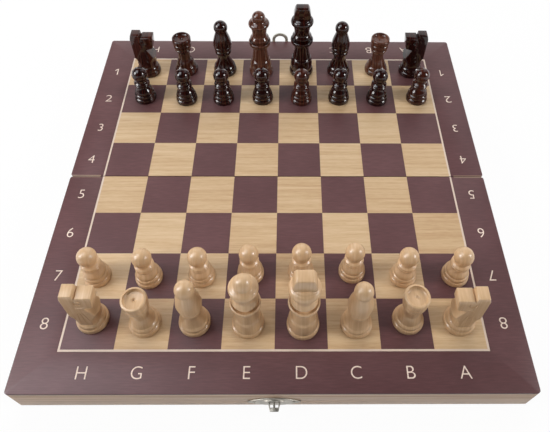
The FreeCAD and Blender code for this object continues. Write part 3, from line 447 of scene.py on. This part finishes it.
PROFILES = {
    "pawn": [(0, 10.9, 0), (4.4, 10.6, 0.3), (0.6, 9.6, 0), (4.2, 9.7, 0.6), (0.5, 8.8, 0),
             (4.8, 7.6, 0.7), (2.8, 5.4, 0), (2.2, 7.5, 0.1), (1.9, 7.6, 0.3), (0.4, 7.0, 0),
             (0.4, 7.6, 0), (1.6, 7.2, 0.3), (0.9, 5.8, 0), (3.0, 5.6, -0.2)],
    "rook": [(0, 12.1, 0), (4.6, 11.9, 0.3), (0.6, 10.9, 0), (4.3, 9.2, 0.9), (8.5, 6.3, 0.5),
             (9.0, 6.1, -0.1), (1.6, 7.6, 0.3), (2.8, 8.6, 0.4), (0.5, 7.9, 0), (0.6, 8.9, 0),
             (5.2, 9.3, 0.2), (0.5, 8.6, 0), (0.6, 9.5, 0), (4.6, 9.6, 0.2), (1.2, 8.6, 0.35),
             (0.2, 7.8, 0), (-2.4, 6.4, -0.4), (-0.2, 1.8, 0), (-1.2, 0.5, 0), (0, 0, 0)],
    "bishop": [(0, 12.2, 0), (4.6, 12.0, 0.3), (0.6, 10.9, 0), (4.8, 9.8, 1.0), (8.0, 6.4, 0),
               (7.0, 7.0, -0.3), (0.5, 7.8, 0), (4.6, 8.3, 0.6), (0.5, 7.6, 0), (0.6, 8.6, 0),
               (4.4, 8.9, 0.5), (0.5, 8.2, 0), (0.5, 9.3, 0), (1.4, 9.7, 0.2), (9.8, 7.7, 0.3),
               (6.7, 5.7, -0.1)],
    "queen": [(0, 12.6, 0), (4.6, 12.4, 0.3), (0.7, 11.2, 0), (12.0, 9.9, 0.7), (0.6, 9.1, 0),
              (0.6, 9.9, 0), (0.8, 9.1, 0), (16.7, 7.0, -0.3), (1.6, 9.8, 0.3), (2.0, 11.2, 0.3),
              (2.9, 11.2, 0.3), (0.4, 10.4, 0.1), (-2.3, 8.8, 0), (0, 7.0, 0), (4.6, 7.0, 0),
              (0.4, 9.6, 0), (2.0, 9.3, 0.3), (1.6, 8.3, 0), (2.2, 7.4, -0.2), (11.4, 9.7, -0.7),
              (0.4, 10.5, 0), (2.4, 10.4, 0.3), (1.4, 8.8, 0.2), (0.6, 7.4, 0), (1.3, 6.3, -0.1)],
    "king": [(0, 12.6, 0), (4.8, 12.4, 0.3), (0.7, 11.3, 0), (13.9, 10.3, 0.8), (0.6, 9.4, 0),
             (0.7, 10.2, 0), (0.8, 9.4, 0), (16.8, 7.0, -0.4), (1.6, 10.0, 0.3), (2.2, 11.5, 0.3),
             (2.8, 11.5, 0.3), (0.4, 10.7, 0.1), (-2.3, 9.0, 0), (0, 7.4, 0), (4.7, 7.4, 0),
             (0.4, 9.8, 0), (2.0, 9.6, 0.3), (1.6, 8.7, 0), (2.0, 7.8, -0.2), (11.3, 10.5, -0.7),
             (0.4, 11.3, 0), (3.2, 11.2, 0.3), (2.0, 9.0, 0.4), (1.4, 6.2, 0.4), (1.4, 0, 0)],
    "knight": [(0, 12.2, 0), (4.6, 12.0, 0.3), (0.6, 11.0, 0), (5.0, 9.6, 0.8), (0.6, 8.6, 0),
               (0.6, 0, 0)],
}
BALL_RISE = {"pawn": 5.35, "bishop": 4.24, "queen": 2.55}
masters = {kind: turned(steps, BALL_RISE.get(kind)) for kind, steps in PROFILES.items()}
print({kind: len(bm.faces) for kind, bm in masters.items()})

# %% [markdown]
# ## The king's block and the knight's head
# These two are sawn, not turned: a flat outline, extruded to its thickness, with its edges eased. The
# king's block then gets thinner above its shoulder.

# %% Sawn heads
def sawn(outline, thickness, ease):
    """An outline in the XZ plane, extruded about it along Y and bevelled, in millimetres."""
    bm = bmesh.new()
    face = bm.faces.new([bm.verts.new((x, -thickness / 2, z)) for x, z in outline])
    made = bmesh.ops.extrude_face_region(bm, geom=[face], use_keep_orig=True)
    far = [v for v in made["geom"] if isinstance(v, bmesh.types.BMVert)]
    bmesh.ops.translate(bm, verts=far, vec=(0, thickness, 0))
    bmesh.ops.recalc_face_normals(bm, faces=bm.faces)
    edges = [e for e in bm.edges if e.calc_face_angle() > math.radians(10)]
    bmesh.ops.bevel(bm, geom=edges, offset=ease, affect="EDGES", segments=3, profile=0.5, material=-1,
                    clamp_overlap=True)
    bmesh.ops.triangulate(bm, faces=[f for f in bm.faces if len(f.verts) > 4])
    return bm


SAWN_EASE = 0.9
BLOCK_THICKNESS, BLOCK_SHOULDER, BLOCK_ABOVE, BLOCK_TAPER = 11.2, 75.0, 9.6, 0.15
HEAD_HALF, HEAD_TOP, HEAD_TALL, HEAD_SPREAD = 5.2, 52.4, 38.4, 0.7
block = sawn([(-7.9, 70.8), (7.9, 70.8), (8.7, 75.8), (7.3, 82.0), (5.9, 84.6), (-5.9, 84.6), (-7.3, 82.0),
              (-8.7, 75.8)], BLOCK_THICKNESS, SAWN_EASE)
for vert in block.verts:
    vert.co.y *= 1.0 - BLOCK_TAPER * max(0.0, vert.co.z - BLOCK_SHOULDER) / BLOCK_ABOVE
head = sawn([(-9.0, 10.8), (9.0, 10.8), (11.4, 21.5), (3.8, 34.6), (11.0, 36.9), (12.4, 49.5), (0.9, 49.5),
             (-0.2, 47.6), (-0.9, HEAD_TOP), (-9.6, HEAD_TOP), (-10.8, 47.5)], 2 * HEAD_HALF, SAWN_EASE)
print("sawn", len(block.faces), "and", len(head.faces), "faces")

# %% [markdown]
# ## Carving
# A knife finishes the knight: a ring for the eye, a line for the jaw and a fan of grooves for the mane.
# Each cut is a small rod or ring that a Boolean takes away from the wood, on both sides of the head.
# The head itself is cut back to a turned blank first, so that its sides are round, and a last Boolean
# makes each head one solid with its turned body.

# %% Cut the knight and join the heads to their bodies
EYE_RING, EYE_CUT, JAW_CUT, MANE_CUT = 2.4, 0.6, 0.45, 0.35


def rod(start, end, radius):
    """A thin rod between two points."""
    bm = bmesh.new()
    start, end = Vector(start), Vector(end)
    bmesh.ops.create_cone(bm, cap_ends=True, segments=10, radius1=radius, radius2=radius * 0.6,
                          depth=(end - start).length)
    turn = (start - end).to_track_quat("-Z", "Y").to_matrix().to_4x4()
    bm.transform(Matrix.Translation((start + end) / 2) @ turn)
    return bm


def eye_ring(x, y, z):
    """A ring that lies flat on the side of the head."""
    bm = bmesh.new()
    bmesh.ops.create_circle(bm, segments=8, radius=EYE_CUT, matrix=Matrix.Translation((EYE_RING, 0, 0)))
    bmesh.ops.spin(bm, geom=bm.verts[:] + bm.edges[:], cent=(0, 0, 0), axis=(0, 1, 0), angle=2 * math.pi,
                   steps=28, use_merge=True)
    bmesh.ops.remove_doubles(bm, verts=bm.verts, dist=0.01)
    bmesh.ops.recalc_face_normals(bm, faces=bm.faces)
    bm.transform(Matrix.Translation((x, y, z)))
    return bm


def temporary(name, bm):
    mesh = bpy.data.meshes.new(name)
    bm.to_mesh(mesh)
    bm.free()
    thing = bpy.data.objects.new(name, mesh)
    bpy.context.scene.collection.objects.link(thing)
    return thing


def carved(bm, cutters, operation):
    """Cuts a solid with others, or joins them to it, and gives the new bmesh."""
    things = [temporary("block", bm)] + [temporary("cutter", cutter) for cutter in cutters]
    for cutter in things[1:]:
        cut = things[0].modifiers.new("cut", "BOOLEAN")
        cut.operation = operation
        cut.object = cutter
        cut.solver = "MANIFOLD"
    result = bmesh.new()
    result.from_mesh(things[0].evaluated_get(bpy.context.evaluated_depsgraph_get()).to_mesh())
    for thing in things:
        bpy.data.meshes.remove(thing.data)
    return result


blank = turned([(0, 9.7, 0), (17.4, 10.0, 0.2), (8.0, 12.4, -0.4), (8.0, 15.0, 0), (20.0, 15.0, 0),
                (0, 0, 0)])
EYE, JAW_BACK, JAW_FRONT = (1.0, 43.5), (-2.0, 36.0), (5.0, 37.6)
MANE_TOP = 29.0
MANE_FEET = ((-6.6, 17.0), (-3.2, 15.0), (0.6, 15.0), (4.6, 16.0))


def cheek(z):
    """Half the thickness of the head, which widens towards its foot."""
    return HEAD_HALF * (1 + HEAD_SPREAD * (HEAD_TOP - z) / HEAD_TALL)


def on_cheek(side, x, z):
    """A point on one side of the head."""
    return x, side * cheek(z), z


for vert in head.verts:
    vert.co.y *= cheek(vert.co.z) / HEAD_HALF
head = carved(head, [blank], "INTERSECT")
cuts = []
for side in SIDES:
    cuts.append(eye_ring(*on_cheek(side, *EYE)))
    cuts.append(rod(on_cheek(side, *JAW_BACK), on_cheek(side, *JAW_FRONT), JAW_CUT))
    for x, z in MANE_FEET:
        cuts.append(rod(on_cheek(side, x * 0.5 - 0.6, MANE_TOP), on_cheek(side, x, z), MANE_CUT))
head = carved(head, cuts, "DIFFERENCE")
masters["knight"] = carved(masters["knight"], [head], "UNION")
masters["king"] = carved(masters["king"], [block], "UNION")
print({kind: round(masters[kind].calc_volume()) for kind in ("knight", "king")}, "mm3")

# %% [markdown]
# ## Setting the men out
# Each man stands where its CAD node stands. The men on the left half of the board face right and those
# on the right half are turned half round, as the knights in the photo are.

# %% Place every man
STAIN_OF = {"dark_queen": "brown", "dark_rook_b": "brown", "dark_knight_h": "dark", "dark_rook_g": "dark",
            "dark_pawn_a": "dark", "dark_pawn_d": "dark"}


def set_out(node):
    colour, kind = node.split("_")[:2]
    low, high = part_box(node)
    middle = Vector(((low.x + high.x) / 2, (low.y + high.y) / 2, low.z))
    turn = 0.0 if middle.x < 0 else math.pi
    bm = masters[kind].copy()
    bm.transform(Matrix.Translation(middle) @ Matrix.Rotation(turn, 4, "Z") @ Matrix.Scale(MM, 4))
    lacquer = clear_lacquer if colour == "pale" else stained[STAIN_OF.get(node, "black")]
    piece = new_piece(node + "_turned", bm, lacquer)
    return stands_for(piece, node, colour + "_men", node)


men = [set_out(node) for node in sorted(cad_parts) if node.startswith(("pale_", "dark_"))]
print(len(men), "men set out")

# %% [markdown]
# ## Letters and numbers
# The coordinates are printed in a plain sans. A text object gives the outline, which is turned into a
# mesh, scaled to a cap height of about 9 mm and laid on the border, as thick as a coat of ink. The
# number one has a long flag that the built-in type lacks, so it is a small filled curve.

# %% Print the coordinates
EDGE = 179 * MM
CAP_HEIGHT = 9.2 * MM
# parts of the height of the type
INK_THICKNESS, THINNER_STROKE = 0.004, -0.012
WIDER = {"2": 1.2, "8": 1.06}
ONE = [(-0.05, 0.0), (0.05, 0.0), (0.05, 1.0), (-0.04, 1.0), (-0.34, 0.78), (-0.34, 0.66), (-0.05, 0.84)]


def printed(bm, mark, x, y, turn):
    """Adds one letter or number to a bmesh, its middle at a point of the border."""
    if mark == "1":
        curve = bpy.data.curves.new("glyph", "CURVE")
        curve.dimensions = "2D"
        curve.fill_mode = "BOTH"
        stroke = curve.splines.new("POLY")
        stroke.points.add(len(ONE) - 1)
        for point, corner in zip(stroke.points, ONE):
            point.co = (*corner, 0, 1)
        stroke.use_cyclic_u = True
    else:
        curve = bpy.data.curves.new("glyph", "FONT")
        curve.body = mark
        curve.offset = THINNER_STROKE
    curve.extrude = INK_THICKNESS
    glyph = bpy.data.objects.new("glyph", curve)
    mesh = bpy.data.meshes.new_from_object(glyph)
    corners = [v.co for v in mesh.vertices]
    size = CAP_HEIGHT / (max(c.y for c in corners) - min(c.y for c in corners))
    middle = Vector(((max(c.x for c in corners) + min(c.x for c in corners)) / 2,
                     (max(c.y for c in corners) + min(c.y for c in corners)) / 2, 0))
    stretch = Matrix.Diagonal((size * WIDER.get(mark, 1.0), size, size, 1.0))
    mesh.transform(Matrix.Translation((x, y, FACE)) @ Matrix.Rotation(turn, 4, "Z") @ stretch
                   @ Matrix.Translation(-middle))
    bm.from_mesh(mesh)
    bpy.data.meshes.remove(mesh)
    bpy.data.objects.remove(glyph)
    bpy.data.curves.remove(curve)


for half, sign, turn in (("front", -1, 0.0), ("back", 1, math.pi)):
    bm = bmesh.new()
    for i, letter in enumerate("HGFEDCBA"):
        printed(bm, letter, (i - 3.5) * SQUARE, sign * EDGE, turn)
    for i in range(8):
        y = (3.5 - i) * SQUARE
        if y * sign > 0:
            printed(bm, str(i + 1), -EDGE, y, 0.0)
            printed(bm, str(i + 1), EDGE, y, math.pi)
    stands_for(new_piece(half + "_coordinates", bm, ink), half + "_half", "pale_veneer")
print("printed the coordinates")

# %% [markdown]
# ## Floor, light and camera
# The board was photographed in a white sweep, between two soft lamps. Each lamp leaves one small light
# on every ball, so their places can be read off the pawns: left and right of the camera, about 28 degrees
# up. A lamp over the back edge draws the shadows of the men towards the camera. The floor is white to
# the camera but still takes a soft shadow.

# %% Floor and world
HALF_FLOOR = 4.0
GLOW_SHARE = 0.95
DIM_ROOM = 0.03
PAPER_TOP = 0.17
bm = bmesh.new()
bmesh.ops.create_grid(bm, x_segments=1, y_segments=1, size=HALF_FLOOR)
sweep, tree, shader = finish_named("white_sweep")
set_surface(shader, {"Base Color": (0.85, 0.85, 0.85, 1.0), "Roughness": 0.8})
ray = add(tree, "LightPath")
seen = add(tree, "Math", {0: ray.outputs["Is Camera Ray"], 1: ray.outputs["Is Glossy Ray"]},
           operation="MAXIMUM")
seen = add(tree, "Math", {0: seen.outputs[0], 1: ray.outputs["Is Transmission Ray"]}, operation="MAXIMUM")
share = add(tree, "Math", {0: seen.outputs[0], 1: GLOW_SHARE}, operation="MULTIPLY")
glow = add(tree, "Emission", {"Color": (1.0, 1.0, 1.0, 1.0), "Strength": 1.0})
blend = add(tree, "MixShader", {0: share.outputs[0], 1: shader.outputs[0], 2: glow.outputs[0]})
tree.links.new(blend.outputs[0], tree.nodes["Material Output"].inputs["Surface"])
floor = new_piece("floor", bm, sweep)

world = bpy.data.worlds.new("studio")
bpy.context.scene.world = world
world.use_nodes = True
tree = world.node_tree
ray = add(tree, "LightPath")
seen = add(tree, "Math", {0: ray.outputs["Is Camera Ray"], 1: ray.outputs["Is Transmission Ray"]},
           operation="MAXIMUM")
# reflections see the white paper up to about 10 degrees, where the height is 0.17, and the dim room above
height = add(tree, "SeparateXYZ", {0: add(tree, "TexCoord").outputs["Generated"]}).outputs["Z"]
paper = add(tree, "Math", {0: height, 1: PAPER_TOP}, operation="LESS_THAN")
mirrored = add(tree, "Math", {0: ray.outputs["Is Glossy Ray"], 1: paper.outputs[0]}, operation="MULTIPLY")
seen = add(tree, "Math", {0: seen.outputs[0], 1: mirrored.outputs[0]}, operation="MAXIMUM")
level = add(tree, "MapRange", {"Value": seen.outputs[0], "To Min": DIM_ROOM, "To Max": 1.0})
tree.links.new(level.outputs["Result"], tree.nodes["Background"].inputs["Strength"])
tree.nodes["Background"].inputs["Color"].default_value = (1.0, 1.0, 1.0, 1.0)
print("floor and world set")

# %% Lamps
def lamp(name, place, aim, width, depth, radiance, shape="RECTANGLE"):
    """An area lamp in metres, its power worked out from how bright its face looks."""
    light = bpy.data.lights.new(name, "AREA")
    light.shape = shape
    light.size = width
    light.size_y = depth
    area = width * depth * (math.pi / 4 if shape == "ELLIPSE" else 1.0)
    light.energy = radiance * math.pi * area
    thing = bpy.data.objects.new(name, light)
    thing.location = place
    thing.rotation_euler = (Vector(aim) - Vector(place)).to_track_quat("-Z", "Y").to_euler()
    bpy.context.scene.collection.objects.link(thing)
    print(name, round(light.energy, 1), "W")
    return thing


lamp("left_lamp", (-1.37, -0.30, 0.82), (0, 0, 0.05), 0.75, 0.75, 12.5, "ELLIPSE")
lamp("right_lamp", (1.37, -0.30, 0.82), (0, 0, 0.05), 0.55, 0.55, 18.0, "ELLIPSE")
overhead = lamp("overhead", (-0.15, 0.9, 1.1), (0, 0.1, 0), 1.6, 1.0, 2.5)
overhead.visible_glossy = False
lamp("backdrop", (0.0, 2.2, 1.1), (0, 0, 0.03), 3.2, 1.8, 0.9)
window = lamp("window", (-0.75, 0.0, 1.35), (-0.1, -0.1, 0.03), 0.9, 0.9, 3.8)
# the window and the pale walls on both sides only show as a sheen on the lacquer
right_wall = lamp("right_wall", (1.05, 0.95, 1.35), (0.1, 0.1, 0.03), 0.7, 1.8, 0.8)
left_wall = lamp("left_wall", (-1.0, -0.3, 1.35), (-0.1, -0.1, 0.03), 1.2, 1.2, 1.1)
DAYLIGHT = (0.88, 0.94, 1.0)
for pane in (window, right_wall, left_wall):
    pane.data.color = DAYLIGHT
    pane.visible_diffuse = False

# %% [markdown]
# The camera was found by fitting the corners of the squares: it looks down at about 52 degrees, nearly
# straight on, with a normal lens. The photo was cropped off centre, which the shift repeats.

# %% Camera
camera = bpy.data.objects.new("camera", bpy.data.cameras.new("camera"))
bpy.context.scene.collection.objects.link(camera)
bpy.context.scene.camera = camera
# the fit, in radians, in millimetres from the middle of the playing face, and in pixels of the photo
tilt, swing, roll = 0.899667, 0.017245, 0.015765
STAND = Vector((10.62 * MM, -303.93 * MM, 416.48 * MM + FACE))
PHOTO_WIDTH, PHOTO_HEIGHT = 550, 432
FOCAL, CENTRE_X, CENTRE_Y = 547.135, 294.888, 154.127
SENSOR = 36.0
look = Vector((math.sin(swing) * math.cos(tilt), math.cos(swing) * math.cos(tilt), -math.sin(tilt)))
right = look.cross((0, 0, 1)).normalized()
up = right.cross(look)
turned_right = math.cos(roll) * right + math.sin(roll) * up
turned_up = math.cos(roll) * up - math.sin(roll) * right
axes = Matrix((turned_right, turned_up, -look)).transposed().to_4x4()
camera.matrix_world = Matrix.Translation(STAND) @ axes
camera.data.sensor_fit = "HORIZONTAL"
camera.data.sensor_width = SENSOR
camera.data.lens = FOCAL / PHOTO_WIDTH * SENSOR
camera.data.shift_x = -(CENTRE_X - PHOTO_WIDTH / 2) / PHOTO_WIDTH
camera.data.shift_y = -(PHOTO_HEIGHT / 2 - CENTRE_Y) / PHOTO_WIDTH
camera.data.clip_start = 0.01
print("camera at", [round(v, 3) for v in camera.location])

# %% [markdown]
# ## Last settings
# The colours are shown through the Standard view, and the scene is brought up to date.

# %% Finish
bpy.context.scene.view_settings.view_transform = "Standard"
bpy.context.view_layer.update()
